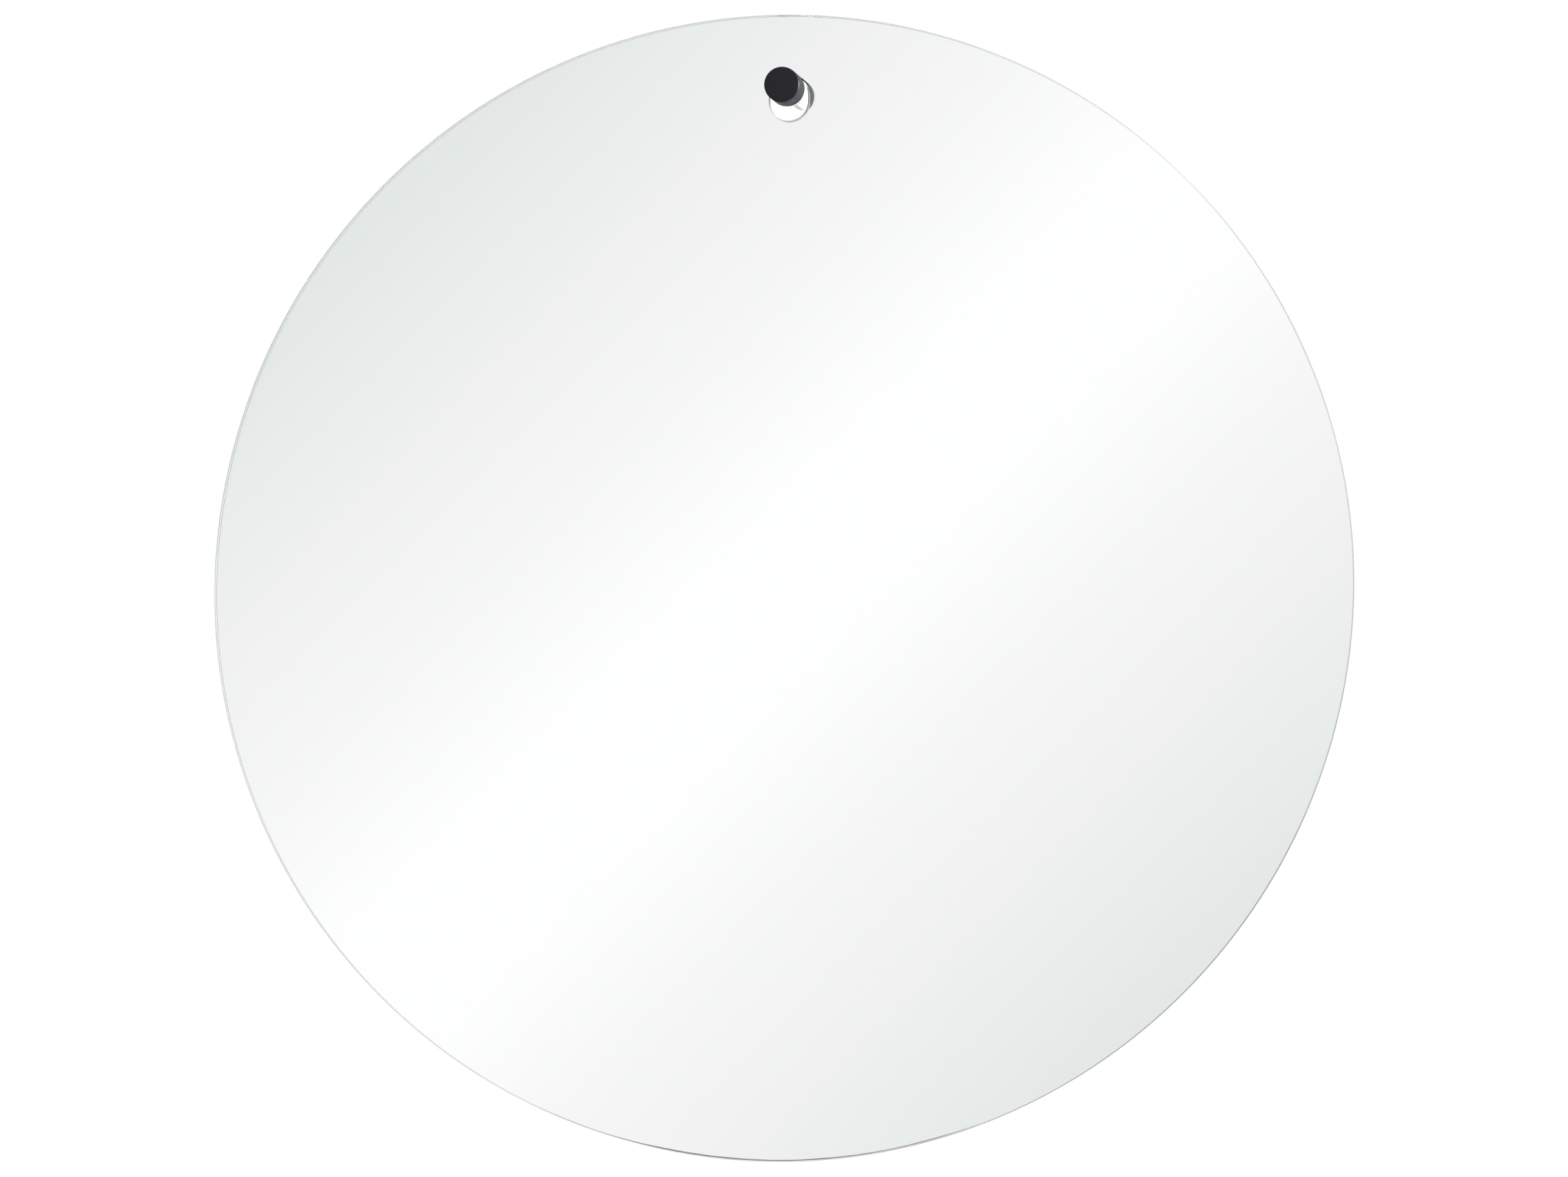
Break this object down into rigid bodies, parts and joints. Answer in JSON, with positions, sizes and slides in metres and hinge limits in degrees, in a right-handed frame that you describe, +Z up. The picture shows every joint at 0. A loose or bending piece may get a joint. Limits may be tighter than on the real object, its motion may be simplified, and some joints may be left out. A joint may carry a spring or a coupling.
{
  "type": "wall mirror",
  "caption": "Round frameless wall mirror with a round-ended slot through its glass, hung on a turned black peg that screws into the wall.",
  "frame": {"origin": "where the peg's axis meets the wall's surface, at the centre of the washer's rear face", "axes": "+Z up; +Y into the wall along the peg's axis, so the mirror faces -Y; +X to the right of a person who faces the mirror"},
  "size_m": [0.5, 0.071, 0.4999],
  "materials": {
    "plug_nylon": "matte",
    "zinc_steel": "satin",
    "washer_rubber": "matte",
    "ring_rubber": "matte",
    "black_anodised": "satin",
    "sleeve_nylon": "satin",
    "clear_glass": "polished",
    "silver": "polished",
    "mirror_paint": "matte",
    "vinyl_film": "satin",
    "bumper_rubber": "satin",
    "adhesive": "matte"
  },
  "bodies": {
    "peg": {"wall_plug": "plug_nylon", "hanger_bolt": "zinc_steel", "rear_washer": "washer_rubber", "hanging_peg": "black_anodised", "head_ring": "ring_rubber"},
    "sleeve": {"neck_sleeve": "sleeve_nylon"},
    "mirror": {"mirror_glass": "clear_glass", "silver_layer": "silver", "backing_paint": "mirror_paint", "safety_film": "vinyl_film", "bumper_upper_left": "bumper_rubber", "bumper_adhesive_upper_left": "adhesive", "bumper_upper_right": "bumper_rubber", "bumper_adhesive_upper_right": "adhesive", "bumper_lower_left": "bumper_rubber", "bumper_adhesive_lower_left": "adhesive", "bumper_lower_right": "bumper_rubber", "bumper_adhesive_lower_right": "adhesive"}
  },
  "joints": [
    {"name": "mirror_swing", "type": "hinge", "parent": "peg", "child": "sleeve", "pos_m": [0, 0, 0], "axis": [0, 1, 0], "range_deg": [-90, 90]},
    {"name": "mirror_lift", "type": "slide", "parent": "sleeve", "child": "mirror", "axis": [0, 0, 1], "range_m": [0, 0.007]}
  ]
}
